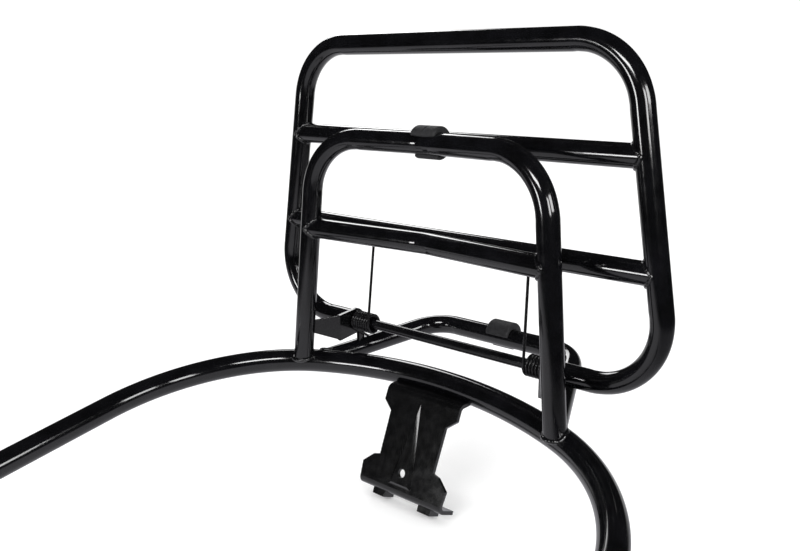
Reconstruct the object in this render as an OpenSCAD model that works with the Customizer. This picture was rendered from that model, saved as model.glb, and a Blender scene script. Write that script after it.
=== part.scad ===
// Fold-down rear luggage rack of welded steel tube.
// Axes: +X to the right, +Y rearward, +Z up, in millimetres.
// Origin: middle of the screw hole in the tail bracket's rib, the hole that holds the rack.
// Places below are measured from the middle of the fold hinge's rod, and in_rack_frame() moves
// them to the origin. The folding platform stands upright, as parked.

/* [Tubes] */
// Outer diameter of the wide bow that wraps the vehicle's tail
bow_tube_d = 19; // [18:0.5:20]
// Outer diameter of every other tube
frame_tube_d = 16; // [15.5:0.5:16]
// Wall thickness of all the tubes
tube_wall = 1.5; // [1.2:0.1:2]

/* [Bow] */
// Width of the bow, measured between its tubes' centre lines
bow_w = 430.2; // [425:1:435]
// Radius of the wide curve behind the tail
bow_crown_r = 324.9; // [320:1:330]
// Radius of the two tighter curves that turn the bow forward
bow_corner_r = 153.6; // [150:1:157]
// Straight length of each forward leg of the bow, tab not included
bow_leg_len = 110; // [80:5:130]
// How far the bow's plane tips up at the back, in degrees
bow_tilt = 10.3; // [9.5:0.1:11]
// Distance of the bow's crown in front of the hinge, along the bow's own plane
bow_crown_y = 79.6; // [78:0.2:81]
// Position of the bow plane's reference point in front of the hinge
bow_origin_y = -85.75; // [-87:0.25:-85]
// Height of the bow plane's reference point, below the hinge
bow_origin_z = -43.85; // [-45:0.25:-43]

/* [Backrest arch] */
// Height of the arch's top tube above the hinge
arch_top_z = 155.9; // [153:0.5:158]
// Half width of the arch where its legs' and top's lines cross
arch_top_half_w = 104.6; // [103:0.2:106]
// Half width of the arch where its legs meet the bow
arch_foot_half_w = 122.6; // [121:0.2:124]
// Distance of the arch's top corners in front of the hinge
arch_corner_y = -33.5; // [-35:0.25:-33.5]
// Distance of the arch's feet in front of the hinge
arch_foot_y = -38.5; // [-39.5:0.1:-37.5]
// How far the middle of the arch's top is bent back from its corners
arch_sweep = 11.5; // [10:0.5:11.5]
// Bend radius of the arch's corners
arch_bend_r = 46; // [40:1:50]
// Height of the arch's crossbar above the hinge
arch_bar_z = 83.2; // [78:1:88]

/* [Support loop] */
// Distance of the loop's rear tube from the bow plane's reference point
loop_rear_y = 165.8; // [164:0.2:168]
// Half width of the loop's rear tube where its arms' lines cross it
loop_rear_half_w = 69.3; // [66:0.5:72]
// Half width of the loop where its arms' lines reach the bow
loop_front_half_w = 115; // [113:0.5:117]
// Bend radius of the loop's corners
loop_bend_r = 32; // [28:1:36]

/* [Folding platform] */
// Height of the platform's outer tube above the hinge when it stands up
platform_len = 225.8; // [222:1:230]
// Half width of the platform where its sides' lines reach the hinge axis
platform_foot_half_w = 182.3; // [180:0.5:184]
// Half width of the platform at its outer end
platform_top_half_w = 144.8; // [143:0.5:147]
// Bend radius of all four corners
platform_bend_r = 47; // [42:1:50]
// Height of the crossbar near the hinge
lower_bar_z = 80.9; // [79:0.5:83]
// Height of the second crossbar
upper_bar_z = 154.5; // [152:0.5:157]

/* [Hinge] */
// Diameter of the hinge rod
rod_d = 8; // [7:0.5:8]
// Radial running clearance between the rod and the bushes that turn on it
hinge_clearance = 0.05; // [0.02:0.01:0.09]
// Thickness of the hinge ears and of the tail bracket
sheet = 3; // [2.5:0.1:3.2]
// Distance of each hinge ear from the middle
ear_x = 98; // [97:0.5:99]
// Length of each bush inside the platform's tube ends
bush_len = 15; // [10:1:16]

/* [Torsion springs] */
// Wire diameter
wire_d = 2.2; // [1.8:0.1:2.4]
// Mean diameter of the coils
coil_d = 14.8; // [14:0.2:15.4]
// Number of full turns between the two legs
coil_turns = 7; // [4:1:7]
// Axial length of the wound body
coil_len = 18.4; // [18:0.1:19]

/* [Bumper clips] */
// Width of each bumper clip along its tube
clip_w = 22; // [20:1:26]
// Outer radius of the bumper clip
clip_outer_r = 12; // [11.6:0.1:12.2]

/* [Tail bracket] */
// How far the bracket leans from the vertical, in degrees
bracket_lean = 23.6; // [20:0.2:26]
// Length of the bracket's plate, from the top bend to the bottom bend
bracket_len = 70; // [66:1:74]
// Width of the plate at its top
bracket_top_w = 71; // [68:1:74]
// Width of the plate at its waist
bracket_waist_w = 54; // [50:1:58]
// Width of the plate and its flange at the bottom
bracket_foot_w = 82; // [78:1:86]
// Depth of the bottom flange
flange_len = 19; // [17:0.5:22]
// Diameter of the hole in the bracket's rib, for an M6 screw
rib_hole_d = 6.6; // [6.2:0.1:7]
// Core diameter of the weld nuts' M6 threads
nut_d = 5; // [4.8:0.1:5.2]
// Distance between the two weld nuts
nut_spacing = 45; // [40:1:50]

/* [Bow tabs] */
// Length of the flat tab beyond the tube's end
tab_len = 26; // [24:1:32]
// Width of the tab
tab_w = 20; // [19:0.5:22]
// Thickness of the tab
tab_t = 5; // [4:0.5:6]
// Diameter of the tab's bolt hole, for an M8 bolt
tab_hole_d = 8.5; // [8.4:0.1:9]

/* [Hidden] */
$fn = 48;

bow_r = bow_tube_d / 2;
tube_r = frame_tube_d / 2;
rod_r = rod_d / 2;
// Angle that each half of the bow's crown covers
crown_half_angle = asin((bow_w / 2 - bow_corner_r) / (bow_crown_r - bow_corner_r));
crown_centre_y = bow_crown_y - bow_crown_r;
corner_centre_x = bow_w / 2 - bow_corner_r;
corner_centre_y = crown_centre_y + (bow_crown_r - bow_corner_r) * cos(crown_half_angle);
leg_end_y = corner_centre_y - bow_leg_len;
rod_half_len = ear_x + bush_len + 8;
return_end_x = ear_x + sheet / 2 + 1.2;
bush_flange_t = 1;
// Gap left where a tube or plate is cut to sit against another, filled by the weld
weld_gap = 0.02;
// Slight ring that the bending tool presses where each bend begins and ends
ring_half = 0.8;
ring_rise = 0.03;
platform_taper = (platform_foot_half_w - platform_top_half_w) / platform_len;
// How far the bumper's outside is off its tube's centre line, rearward and up
clip_offset = [1.9, 0.65];
// How far the lower bumper's mouth is turned towards the front, in degrees
clip_turn_lower = 22;
// Distance of the arch's feet from the bow plane's reference point, along that plane
arch_foot_v = (arch_foot_y - bow_origin_y) / cos(bow_tilt);
// Distance behind the centres of the bow's corners at which the loop's arms reach the bow
loop_front_v = sqrt(pow(bow_corner_r, 2) - pow(loop_front_half_w - corner_centre_x, 2));
// The arch's legs are sawn off this far above the bow's plane, in front of the bow
leg_saw_height = 7;
// The crossbars and the arch's top sag this much at their middle
middle_drop = 0.4;

function unit(v) = v / norm(v);
function flip_x(p) = [-p.x, p.y, p.z];

// A point of the bow's tilted plane, in the rack's own frame
function on_bow(x, y) = [
    x,
    y * cos(bow_tilt) + bow_origin_y,
    y * sin(bow_tilt) + bow_origin_z
];

// Moves its children so that their X axis points along x_dir and their Z axis along z_dir
module aim(origin, x_dir, z_dir) {
    y_dir = cross(z_dir, x_dir);
    multmatrix([
        [x_dir.x, y_dir.x, z_dir.x, origin.x],
        [x_dir.y, y_dir.y, z_dir.y, origin.y],
        [x_dir.z, y_dir.z, z_dir.z, origin.z],
        [0, 0, 0, 1]
    ]) children();
}

// Moves its children, placed from the middle of the hinge's rod, to the rack's own origin
module in_rack_frame() {
    hole_z = rib_rise - sheet / 2;
    hole = bracket_top + [
        0,
        rib_hole_y * sin(bracket_lean) - hole_z * cos(bracket_lean),
        rib_hole_y * cos(bracket_lean) + hole_z * sin(bracket_lean)
    ];
    translate(-hole) children();
}

module mirror_pair() {
    children();
    mirror([1, 0, 0]) children();
}

// A solid round bar that follows straight lines between points, with a bend at each inner one.
// A slight ring joins each straight to its bend.
module bent_bar(points, bend_r, radius) {
    last = len(points) - 1;
    way = [for (i = [0:last - 1]) unit(points[i + 1] - points[i])];
    turn = [for (i = [1:last - 1]) acos(way[i - 1] * way[i])];
    cut = [0, for (i = [1:last - 1]) bend_r[i - 1] * tan(turn[i - 1] / 2), 0];
    // Direction away from the bend's centre, where the bend starts and where it ends
    out_start = [for (i = [1:last - 1]) unit(way[i - 1] * (way[i] * way[i - 1]) - way[i])];
    out_end = [for (i = [1:last - 1]) unit(way[i - 1] - way[i] * (way[i] * way[i - 1]))];
    for (i = [0:last - 1]) {
        begin = i == 0 ? 0 : cut[i] + ring_half / 2;
        finish = i == last - 1 ? 0 : cut[i + 1] + ring_half / 2;
        aim(points[i] + way[i] * begin, i < last - 1 ? out_start[i] : out_end[i - 1], way[i])
            cylinder(h = norm(points[i + 1] - points[i]) - begin - finish, r = radius);
    }
    for (i = [1:last - 1]) {
        start = points[i] - way[i - 1] * cut[i];
        out = out_start[i - 1];
        inset = atan(ring_half / 2 / bend_r[i - 1]);
        aim(start - out * bend_r[i - 1], out, cross(out, way[i - 1]))
            rotate([0, 0, inset])
                rotate_extrude(angle = turn[i - 1] - 2 * inset)
                    translate([bend_r[i - 1], 0])
                        circle(radius);
        aim(start - way[i - 1] * ring_half, out, way[i - 1])
            cylinder(h = 2 * ring_half, r = radius + ring_rise);
        aim(points[i] + way[i] * (cut[i] - ring_half), out_end[i - 1], way[i])
            cylinder(h = 2 * ring_half, r = radius + ring_rise);
    }
}

// A solid round bar from one point to another
module straight_bar(from, to, radius) {
    way = unit(to - from);
    side = abs(way.z) > 0.9 ? [1, 0, 0] : [0, 0, 1];
    aim(from, unit(cross(side, way)), way) cylinder(h = norm(to - from), r = radius);
}

// A bar that is the mirror image of its right half; the halves meet in a mitre on the middle plane
module mitred_bar(half_points, bend_r, radius) {
    far = 400;
    way = unit(half_points[1] - half_points[0]);
    run_in = concat(
        [half_points[0] - way * 2 * radius],
        [for (i = [1:len(half_points) - 1]) half_points[i]]
    );
    mirror_pair() intersection() {
        if (len(run_in) > 2) bent_bar(run_in, bend_r, radius);
        else straight_bar(run_in[0], run_in[1], radius);
        translate([0, -far, -far]) cube([far, 2 * far, 2 * far]);
    }
}

// Runs of the tubes ------------------------------------------------------------

arch_foot = on_bow(arch_foot_half_w, arch_foot_v);
arch_corner = [arch_top_half_w, arch_corner_y, arch_top_z];
arch_apex = [0, arch_corner_y + arch_sweep, arch_top_z - middle_drop];
arch_points = [arch_apex, arch_corner, arch_foot];

loop_front = on_bow(loop_front_half_w, corner_centre_y + loop_front_v);
loop_corner = on_bow(loop_rear_half_w, loop_rear_y);
loop_rear = on_bow(0, loop_rear_y);
loop_points = [flip_x(loop_front), flip_x(loop_corner), loop_corner, loop_front];

platform_foot = [platform_foot_half_w, 0, 0];
platform_corner = [platform_top_half_w, 0, platform_len];
platform_return = [return_end_x, 0, 0];
platform_points = [
    flip_x(platform_return), flip_x(platform_foot), flip_x(platform_corner),
    platform_corner, platform_foot, platform_return
];
platform_bends = [for (i = [1:4]) platform_bend_r];

// The bow's crown and its two corners are arcs that run into each other, joined by slight rings
module bow_bar(radius) {
    crown_inset = atan(ring_half / 2 / bow_crown_r);
    corner_inset = atan(ring_half / 2 / bow_corner_r);
    corner_turn = 90 - crown_half_angle;
    translate([0, bow_origin_y, bow_origin_z]) rotate([bow_tilt, 0, 0]) {
        translate([0, crown_centre_y, 0])
            rotate([0, 0, 90 - crown_half_angle + crown_inset])
                rotate_extrude(angle = 2 * (crown_half_angle - crown_inset))
                    translate([bow_crown_r, 0])
                        circle(radius);
        mirror_pair() {
            translate([corner_centre_x, corner_centre_y, 0]) {
                rotate([0, 0, corner_inset])
                    rotate_extrude(angle = corner_turn - 2 * corner_inset)
                        translate([bow_corner_r, 0])
                            circle(radius);
                for (angle = [0, corner_turn])
                    rotate([0, 0, angle]) translate([bow_corner_r, ring_half, 0]) rotate([90, 0, 0])
                        cylinder(h = 2 * ring_half, r = radius + ring_rise);
            }
            translate([bow_w / 2, corner_centre_y - ring_half / 2, 0])
                rotate([90, 0, 0])
                    cylinder(h = bow_leg_len - ring_half / 2, r = radius);
        }
    }
}

module bow_tube() {
    color("#0d0d0f") in_rack_frame() difference() {
        bow_bar(bow_r);
        bow_bar(bow_r - tube_wall);
    }
}

// Flat bolt tab let into the front end of the bow
module bow_tab() {
    root_len = 14;
    root_w = 2 * sqrt(pow(bow_r - tube_wall, 2) - pow(tab_t / 2, 2)) - 0.4;
    translate([0, bow_origin_y, bow_origin_z]) rotate([bow_tilt, 0, 0])
        translate([bow_w / 2, leg_end_y, 0]) difference() {
            union() {
                translate([-root_w / 2, -0.5, -tab_t / 2]) cube([root_w, root_len, tab_t]);
                translate([-tab_w / 2, tab_w / 2 - tab_len, -tab_t / 2])
                    cube([tab_w, tab_len - tab_w / 2 - 0.2, tab_t]);
                translate([0, tab_w / 2 - tab_len, -tab_t / 2])
                    cylinder(h = tab_t, d = tab_w);
            }
            translate([0, tab_w / 2 - tab_len, -tab_t])
                cylinder(h = 2 * tab_t, d = tab_hole_d);
        }
}

module bow_tab_right() {
    color("#0d0d0f") in_rack_frame() bow_tab();
}

module bow_tab_left() {
    color("#0d0d0f") in_rack_frame() mirror([1, 0, 0]) bow_tab();
}

// The part of the bow that a tube near x = 120 meets, a hair larger than the bow's rings
module bow_corner_cutter() {
    extra = 12;
    translate([0, bow_origin_y, bow_origin_z]) rotate([bow_tilt, 0, 0])
        translate([corner_centre_x, corner_centre_y, 0])
            rotate_extrude(angle = 90 - crown_half_angle + extra)
                translate([bow_corner_r, 0])
                    circle(bow_r + ring_rise + weld_gap);
}

// Everything lower than the plane in which the arch's legs are sawn off
module below_saw_cut() {
    translate([0, bow_origin_y, bow_origin_z]) rotate([bow_tilt, 0, 0])
        translate([-bow_w, 0, leg_saw_height - bow_w])
            cube([2 * bow_w, bow_w, bow_w]);
}

module backrest_arch() {
    color("#0d0d0f") in_rack_frame() difference() {
        mitred_bar(arch_points, [arch_bend_r], tube_r);
        mitred_bar(arch_points, [arch_bend_r], tube_r - tube_wall);
        mirror_pair() bow_corner_cutter();
        below_saw_cut();
    }
}

module backrest_crossbar() {
    drop = (arch_top_z - arch_bar_z) / (arch_top_z - arch_foot.z);
    end = arch_corner + (arch_foot - arch_corner) * drop;
    points = [[0, end.y + arch_sweep, end.z - middle_drop], end];
    color("#0d0d0f") in_rack_frame() difference() {
        mitred_bar(points, [], tube_r);
        mitred_bar(points, [], tube_r - tube_wall);
        mirror_pair() straight_bar(arch_corner, arch_foot, tube_r + weld_gap);
    }
}

module support_loop() {
    color("#0d0d0f") in_rack_frame() difference() {
        bent_bar(loop_points, [loop_bend_r, loop_bend_r], tube_r);
        bent_bar(loop_points, [loop_bend_r, loop_bend_r], tube_r - tube_wall);
        bow_bar(bow_r + weld_gap);
    }
}

// Hinge ------------------------------------------------------------------------

// Upright ear around the rod. A web bent from its front edge runs out to the arch's leg, and a lug
// behind it reaches down to the loop's arm.
module hinge_ear() {
    round_r = 9.8;
    front_y = -19.5;
    front_top = 7.9;
    front_bottom = -14.2;
    lug_front = 3;
    lug_back = 9.6;
    lug_bottom = -22;
    web_end = [113, -34];
    web_end_top = 3.3;
    web_end_bottom = -6.2;
    // How far the web's root sits inside the ear, and how far its end runs into the leg's outline
    root_inset = 0.3;
    overrun = 3;
    web_start = [ear_x - sheet / 2 + root_inset, front_y + root_inset];
    web_run = web_end - web_start;
    web_len = norm(web_run) + overrun;
    difference() {
        union() {
            translate([ear_x - sheet / 2, 0, 0]) rotate([90, 0, 90]) linear_extrude(sheet) {
                circle(round_r);
                polygon([
                    [front_y, front_bottom], [front_y, front_top], [-1, round_r * 0.99],
                    [round_r * 0.99, -1], [lug_back, lug_bottom], [lug_front, lug_bottom],
                    [lug_front, -11.5]
                ]);
            }
            translate(web_start) rotate([0, 0, atan2(web_run.y, web_run.x)]) rotate([90, 0, 0])
                translate([0, 0, -sheet]) linear_extrude(sheet)
                    polygon([
                        [0, front_bottom + 2 * root_inset], [web_len, web_end_bottom],
                        [web_len, web_end_top], [0, front_top - root_inset]
                    ]);
        }
        rotate([0, 90, 0]) cylinder(h = 2 * ear_x, r = rod_r + weld_gap);
        straight_bar(arch_corner, arch_foot, tube_r + weld_gap);
        straight_bar(loop_corner, loop_front, tube_r + weld_gap);
    }
}

module hinge_ear_right() {
    color("#101012") in_rack_frame() hinge_ear();
}

module hinge_ear_left() {
    color("#101012") in_rack_frame() mirror([1, 0, 0]) hinge_ear();
}

module hinge_rod() {
    color("#18181a") in_rack_frame() translate([-rod_half_len, 0, 0]) rotate([0, 90, 0])
        cylinder(h = 2 * rod_half_len, r = rod_r);
}

// Flanged bush pressed into the platform's tube end; it turns on the rod
module hinge_bush() {
    translate([return_end_x, 0, 0]) rotate([0, 90, 0]) difference() {
        union() {
            cylinder(h = bush_len, r = tube_r - tube_wall);
            translate([0, 0, -bush_flange_t]) cylinder(h = bush_flange_t, r = tube_r - 0.5);
        }
        translate([0, 0, -2 * bush_flange_t])
            cylinder(h = bush_len + 4 * bush_flange_t, r = rod_r + hinge_clearance);
    }
}

module hinge_bush_right() {
    color("#2a2a2c") in_rack_frame() hinge_bush();
}

module hinge_bush_left() {
    color("#2a2a2c") in_rack_frame() mirror([1, 0, 0]) hinge_bush();
}

// Torsion springs --------------------------------------------------------------

// Room between the ear and the first turn
coil_clearance = 1;
coil_start_x = ear_x - sheet / 2 - wire_d / 2 - coil_clearance;
leg_x = coil_start_x - coil_len;
// The leg leans a little inwards on its way up
leg_top_x = leg_x - 2.3;
leg_top_z = lower_bar_z + 1;
tail_len = 19.4;
// The tail slopes down behind the coil and bears on the support loop's arm
tail_slope = 33.6;
coil_r = coil_d / 2;

// Turns on from the coil's front (angle 0 faces forward) over its top
function coil_point(turns) = [
    coil_start_x - coil_len * turns / coil_turns,
    -coil_r * cos(360 * turns),
    coil_r * sin(360 * turns)
];

// Centre line of the wire: short tail, coil, then the long leg up to the platform's crossbar
tail_turn = (tail_slope - 90) / 360;
function spring_path(steps) = concat(
    [coil_point(tail_turn) + tail_len * [0, cos(tail_slope), -sin(tail_slope)]],
    [for (i = [0:steps]) coil_point(tail_turn + (coil_turns - tail_turn) * i / steps)],
    [[leg_top_x, 0, leg_top_z]]
);

// Sweeps a round section along a path, as one closed skin
module sweep_wire(path, radius, sides) {
    count = len(path);
    function way(i) = unit(path[min(i + 1, count - 1)] - path[max(i - 1, 0)]);
    function ring(i) =
        let (w = way(i), out = unit(cross(w, [1, 0.03, 0.02])), up = cross(w, out))
        [for (k = [0:sides - 1]) path[i]
            + radius * (cos(360 * k / sides) * out + sin(360 * k / sides) * up)];
    points = [for (i = [0:count - 1]) each ring(i)];
    skin = [for (i = [0:count - 2], k = [0:sides - 1])
        let (a = i * sides + k, b = i * sides + (k + 1) % sides)
        [a, b, b + sides, a + sides]];
    caps = [
        [for (k = [0:sides - 1]) sides - 1 - k],
        [for (k = [0:sides - 1]) (count - 1) * sides + k]
    ];
    polyhedron(points, concat(skin, caps));
}

module spring() {
    sweep_wire(spring_path(coil_turns * 20), wire_d / 2, 8);
}

module spring_right() {
    color("#161618") in_rack_frame() spring();
}

module spring_left() {
    color("#161618") in_rack_frame() mirror([1, 0, 0]) spring();
}

// Folding platform -------------------------------------------------------------

module platform_frame() {
    color("#0d0d0f") in_rack_frame() difference() {
        bent_bar(platform_points, platform_bends, tube_r);
        bent_bar(platform_points, platform_bends, tube_r - tube_wall);
    }
}

module platform_crossbar(z) {
    half_w = platform_foot_half_w - platform_taper * z;
    difference() {
        translate([-half_w, 0, z]) rotate([0, 90, 0]) difference() {
            cylinder(h = 2 * half_w, r = tube_r);
            translate([0, 0, -1]) cylinder(h = 2 * half_w + 2, r = tube_r - tube_wall);
        }
        mirror_pair() straight_bar(platform_foot, platform_corner, tube_r + weld_gap);
    }
}

// The crossbar near the hinge has a small hole underneath for each spring's leg
module platform_lower_crossbar() {
    color("#0d0d0f") in_rack_frame() difference() {
        platform_crossbar(lower_bar_z);
        mirror_pair()
            translate([leg_top_x, -0.5, lower_bar_z - tube_r - 2])
                cylinder(h = tube_r, d = wire_d + 2.4);
    }
}

module platform_upper_crossbar() {
    color("#0d0d0f") in_rack_frame() platform_crossbar(upper_bar_z);
}

// Bumper clips -----------------------------------------------------------------

// C-shaped bumper that snaps over a tube; its mouth faces forward and down
module clip_blank() {
    mouth_top = 40;
    mouth_bottom = -75;
    mouth_r = 2 * clip_outer_r;
    translate([-clip_w / 2, 0, 0]) rotate([90, 0, 90]) linear_extrude(clip_w) difference() {
        translate(clip_offset) circle(clip_outer_r);
        polygon([
            [0, 0],
            [-mouth_r * cos(mouth_top), mouth_r * sin(mouth_top)],
            [-2 * mouth_r, 0],
            [-mouth_r * cos(mouth_bottom), mouth_r * sin(mouth_bottom)]
        ]);
    }
}

module upper_bumper_clip() {
    color("#202022") in_rack_frame() difference() {
        translate(arch_apex - [0, 0.2, 0]) clip_blank();
        mitred_bar([arch_apex, (arch_apex + arch_corner) / 2], [], tube_r + weld_gap);
    }
}

module lower_bumper_clip() {
    color("#202022") in_rack_frame() difference() {
        translate(loop_rear) rotate([clip_turn_lower, 0, 0]) clip_blank();
        straight_bar(flip_x(loop_corner), loop_corner, tube_r + weld_gap);
    }
}

// Tail bracket -----------------------------------------------------------------

bracket_top = [0, -28.5, -38.5];
bend_r = 3;
rib_rise = 2;
// Clearance hole for an M6 screw
screw_clear_d = 6.6;
rib_hole_y = -57.5;
// Middle of the flange's nuts, measured back from the plate's front face
nut_back = 12;
flange_y = -bracket_len - bend_r - sheet;

// Places its children on the bracket's front face: X right, Y up along the plate, Z outward
module on_bracket() {
    translate(bracket_top) rotate([90 - bracket_lean, 0, 0]) children();
}

module bracket_outline() {
    shoulder = 15;
    hip = 51;
    half = [
        [bracket_top_w / 2, 0], [bracket_top_w / 2, -8], [bracket_waist_w / 2, -shoulder],
        [bracket_waist_w / 2 - 0.6, -hip + 1.5], [bracket_waist_w / 2 + 5, -hip],
        [bracket_foot_w / 2, -hip - 8], [bracket_foot_w / 2 - 1, -bracket_len]
    ];
    polygon(concat(
        half,
        [for (i = [len(half) - 1:-1:0]) [-half[i].x, half[i].y]]
    ));
}

// Section of a sheet bend: from_angle and to_angle are measured from the plate's outward side
module bend_section(from_angle, to_angle) {
    reach = 2 * (bend_r + sheet);
    intersection() {
        difference() {
            circle(bend_r + sheet);
            circle(bend_r);
        }
        polygon([
            [0, 0], reach * [cos(from_angle), sin(from_angle)],
            1.2 * reach * [cos((from_angle + to_angle) / 2), sin((from_angle + to_angle) / 2)],
            reach * [cos(to_angle), sin(to_angle)]
        ]);
    }
}

// Extrudes a section drawn as (outward, up) over the bracket's width
module across(width) {
    translate([width / 2, 0, 0]) rotate([0, -90, 0]) linear_extrude(width) children();
}

// Pressed rib that widens towards the bottom of the plate; its root is sunk into the sheet
module rib(grow, rise) {
    root = 1;
    hull() {
        translate([0, 0, -root]) linear_extrude(0.01) polygon([
            [0, 1 + grow], [12.5 + grow, -bracket_len + 1], [-12.5 - grow, -bracket_len + 1]
        ]);
        translate([0, 0, rise]) linear_extrude(0.01) polygon([
            [0, -14 + grow], [8 + grow, -bracket_len + 4], [-8 - grow, -bracket_len + 4]
        ]);
    }
}

module tail_bracket() {
    top_turn = 90 - bracket_lean;
    top_flange_len = 12;
    color("#0d0d0f") in_rack_frame() difference() {
        on_bracket() difference() {
            union() {
                translate([0, 0, -sheet]) linear_extrude(sheet) bracket_outline();
                rib(0, rib_rise);
                across(bracket_top_w) translate([-bend_r - sheet, 0]) {
                    bend_section(0, top_turn);
                    rotate(top_turn) translate([bend_r + weld_gap, -1])
                        square([sheet - 2 * weld_gap, top_flange_len + 1]);
                }
                across(bracket_foot_w - 2) translate([-bend_r - sheet, -bracket_len]) {
                    bend_section(-90, 0);
                    translate([bend_r + sheet - flange_len, -bend_r - sheet])
                        square([flange_len - bend_r - sheet, sheet]);
                }
            }
            translate([0, 0, -sheet]) rib(-1.2, rib_rise);
            translate([0, rib_hole_y, -sheet - 5]) cylinder(h = 15, d = rib_hole_d);
            for (side = [-1, 1])
                translate([side * nut_spacing / 2, flange_y - 1, -nut_back]) rotate([-90, 0, 0])
                    cylinder(h = sheet + 2, d = screw_clear_d);
        }
        bow_bar(bow_r + weld_gap);
    }
}

// Square weld nuts under the bottom flange
module tail_weld_nuts() {
    nut_w = 12;
    nut_t = 5;
    color("#151517") in_rack_frame() on_bracket()
        for (side = [-1, 1])
            translate([side * nut_spacing / 2, flange_y, -nut_back]) rotate([90, 0, 0])
                difference() {
                    translate([-nut_w / 2, -nut_w / 2, 0]) cube([nut_w, nut_w, nut_t]);
                    translate([0, 0, -1]) cylinder(h = nut_t + 2, d = nut_d);
                }
}

bow_tube();
bow_tab_left();
bow_tab_right();
backrest_arch();
backrest_crossbar();
support_loop();
tail_bracket();
tail_weld_nuts();
hinge_ear_left();
hinge_ear_right();
hinge_rod();
hinge_bush_left();
hinge_bush_right();
spring_left();
spring_right();
platform_frame();
platform_lower_crossbar();
platform_upper_crossbar();
upper_bumper_clip();
lower_bumper_clip();
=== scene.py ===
"""Fold-down rear luggage rack of welded steel tube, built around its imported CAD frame."""

import math
import random

import bmesh
import bpy
import numpy as np
from mathutils import Matrix, Vector


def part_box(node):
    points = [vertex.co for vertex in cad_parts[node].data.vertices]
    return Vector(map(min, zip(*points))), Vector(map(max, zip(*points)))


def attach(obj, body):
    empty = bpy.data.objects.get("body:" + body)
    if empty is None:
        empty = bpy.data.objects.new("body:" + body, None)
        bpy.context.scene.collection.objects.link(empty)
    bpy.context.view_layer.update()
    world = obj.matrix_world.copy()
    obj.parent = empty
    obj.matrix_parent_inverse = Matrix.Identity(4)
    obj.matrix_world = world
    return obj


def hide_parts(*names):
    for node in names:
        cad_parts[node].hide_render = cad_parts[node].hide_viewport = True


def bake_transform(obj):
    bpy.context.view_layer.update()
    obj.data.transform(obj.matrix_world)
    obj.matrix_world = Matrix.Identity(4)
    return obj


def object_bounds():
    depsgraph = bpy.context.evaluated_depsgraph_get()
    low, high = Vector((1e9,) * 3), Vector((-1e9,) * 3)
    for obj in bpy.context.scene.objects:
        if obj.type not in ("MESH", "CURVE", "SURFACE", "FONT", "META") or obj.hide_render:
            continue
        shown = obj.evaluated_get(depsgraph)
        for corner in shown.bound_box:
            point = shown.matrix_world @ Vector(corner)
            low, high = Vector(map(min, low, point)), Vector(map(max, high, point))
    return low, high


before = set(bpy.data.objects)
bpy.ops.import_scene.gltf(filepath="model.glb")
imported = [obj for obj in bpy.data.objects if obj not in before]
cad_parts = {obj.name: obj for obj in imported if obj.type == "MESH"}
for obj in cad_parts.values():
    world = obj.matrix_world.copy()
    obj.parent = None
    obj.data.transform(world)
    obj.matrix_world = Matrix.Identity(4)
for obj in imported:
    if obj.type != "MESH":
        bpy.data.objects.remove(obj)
CAD_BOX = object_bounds()
random.seed(7)
MM = 0.001

# Sizes of the rack, in metres ---------------------------------------------------

TUBE_R = 8.0 * MM
BOW_R = 9.5 * MM
WALL = 1.5 * MM
ROD_R = 4.0 * MM
SHEET = 3.0 * MM


def box_middle(node):
    low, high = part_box(node)
    return (low + high) / 2


# Places below are measured from the middle of the hinge's rod
HINGE = box_middle("hinge_rod")

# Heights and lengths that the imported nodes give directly
PLATFORM_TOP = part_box("platform_frame")[1].z - TUBE_R - HINGE.z
LOWER_BAR_Z = box_middle("platform_lower_crossbar").z - HINGE.z
UPPER_BAR_Z = box_middle("platform_upper_crossbar").z - HINGE.z
ROD_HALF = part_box("hinge_rod")[1].x
CLIP_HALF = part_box("upper_bumper_clip")[1].x

EAR_X = 98 * MM

PLATFORM_FOOT_X = 182.3 * MM
PLATFORM_TOP_X = 144.8 * MM
PLATFORM_BEND = 47 * MM
BUSH_FLANGE = 1.2 * MM
RETURN_X = EAR_X + SHEET / 2 + BUSH_FLANGE

BOW_TILT = math.radians(10.3)
BOW_ORIGIN = Vector((0, -85.75, -43.85)) * MM
BOW_HALF = 215.1 * MM
BOW_CROWN_R = 324.9 * MM
BOW_CORNER_R = 153.6 * MM
BOW_CROWN_Y = 79.6 * MM
BOW_LEG = 110 * MM

ARCH_TOP_Z = 155.9 * MM
ARCH_TOP_X = 104.6 * MM
ARCH_FOOT_X = 122.6 * MM
ARCH_CORNER_Y = -33.5 * MM
ARCH_FOOT_Y = -38.5 * MM
ARCH_FOOT_V = (ARCH_FOOT_Y - BOW_ORIGIN.y) / math.cos(BOW_TILT)
LEG_SAW_HEIGHT = 7 * MM
ARCH_SWEEP = 11.5 * MM
ARCH_BEND = 46 * MM
ARCH_BAR_Z = 83.2 * MM
# The arch's top and its crossbar are bent back, and a hair down, in their middle
ARCH_MIDDLE_BEND = 60 * MM
BAR_MIDDLE_BEND = 55 * MM
MIDDLE_DROP = 0.4 * MM

LOOP_REAR_V = 165.8 * MM
LOOP_REAR_X = 69.3 * MM
LOOP_FRONT_X = 115 * MM
LOOP_BEND = 32 * MM

WIRE_R = 1.1 * MM
COIL_R = 7.4 * MM
COIL_TURNS = 7
COIL_LEN = 18.4 * MM
COIL_CLEARANCE = 1 * MM
COIL_START_X = EAR_X - SHEET / 2 - WIRE_R - COIL_CLEARANCE
LEG_X = COIL_START_X - COIL_LEN
LEG_TOP_X = LEG_X - 2.3 * MM
LEG_ENTRY = 1 * MM
TAIL_LEN = 19.4 * MM
TAIL_SLOPE = math.radians(33.6)


def vec(*values):
    return np.array(values, float)


def unit(v):
    v = np.asarray(v, float)
    return v / np.linalg.norm(v)


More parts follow.
